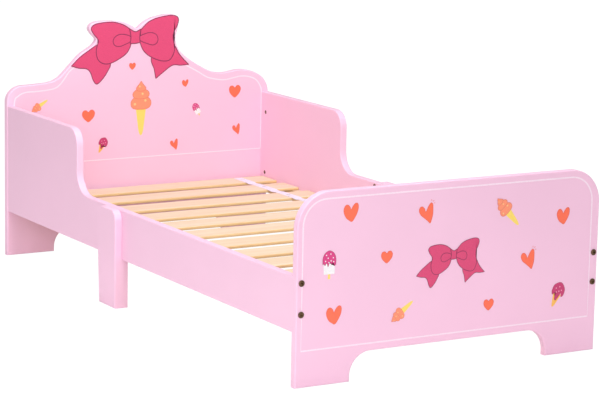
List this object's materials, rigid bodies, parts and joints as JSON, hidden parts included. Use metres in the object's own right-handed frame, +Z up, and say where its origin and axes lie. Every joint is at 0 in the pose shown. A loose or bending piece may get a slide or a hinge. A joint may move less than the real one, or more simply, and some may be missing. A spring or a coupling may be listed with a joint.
{
  "type": "toddler bed",
  "caption": "Low toddler bed with bow-crested headboard, rounded footboard, side panels stepping up to half-length guards, middle legs and a strapped slat base",
  "frame": {"origin": "bottom centre of the bed's bounding box, on the floor", "axes": "+X to the right seen from the foot end, +Y from the foot end towards the head end, +Z up"},
  "size_m": [0.777, 1.4552, 0.5904],
  "materials": {
    "painted_board": "satin pink paint on medium-density fibreboard",
    "painted_panel": "satin pink paint on medium-density fibreboard",
    "painted_leg": "satin pink paint on medium-density fibreboard",
    "ledger_pine": "planed pine, unfinished",
    "slat_pine": "planed pine with rounded edges, unfinished",
    "webbing": "woven polyester webbing, pale lavender white",
    "staple_wire": "galvanised wire",
    "connector_bronze": "antique bronze plate",
    "zinc_screw": "zinc plate"
  },
  "bodies": {
    "root": {"headboard": "painted_board", "footboard": "painted_board", "side_panel_left": "painted_panel", "side_panel_right": "painted_panel", "middle_leg_left": "painted_leg", "middle_leg_right": "painted_leg", "slat_ledger_left": "ledger_pine", "slat_ledger_right": "ledger_pine", "slat_01": "slat_pine", "slat_02": "slat_pine", "slat_03": "slat_pine", "slat_04": "slat_pine", "slat_05": "slat_pine", "slat_06": "slat_pine", "slat_07": "slat_pine", "slat_08": "slat_pine", "slat_09": "slat_pine", "slat_10": "slat_pine", "slat_11": "slat_pine", "slat_12": "slat_pine", "strap_left": "webbing", "strap_right": "webbing", "strap_staples_left": "staple_wire", "strap_staples_right": "staple_wire", "footboard_bolts": "connector_bronze", "headboard_bolts": "connector_bronze", "barrel_nuts_foot": "connector_bronze", "barrel_nuts_head": "connector_bronze", "leg_bolts_left": "connector_bronze", "leg_bolts_right": "connector_bronze", "ledger_screws_left": "zinc_screw", "ledger_screws_right": "zinc_screw"}
  },
  "joints": []
}
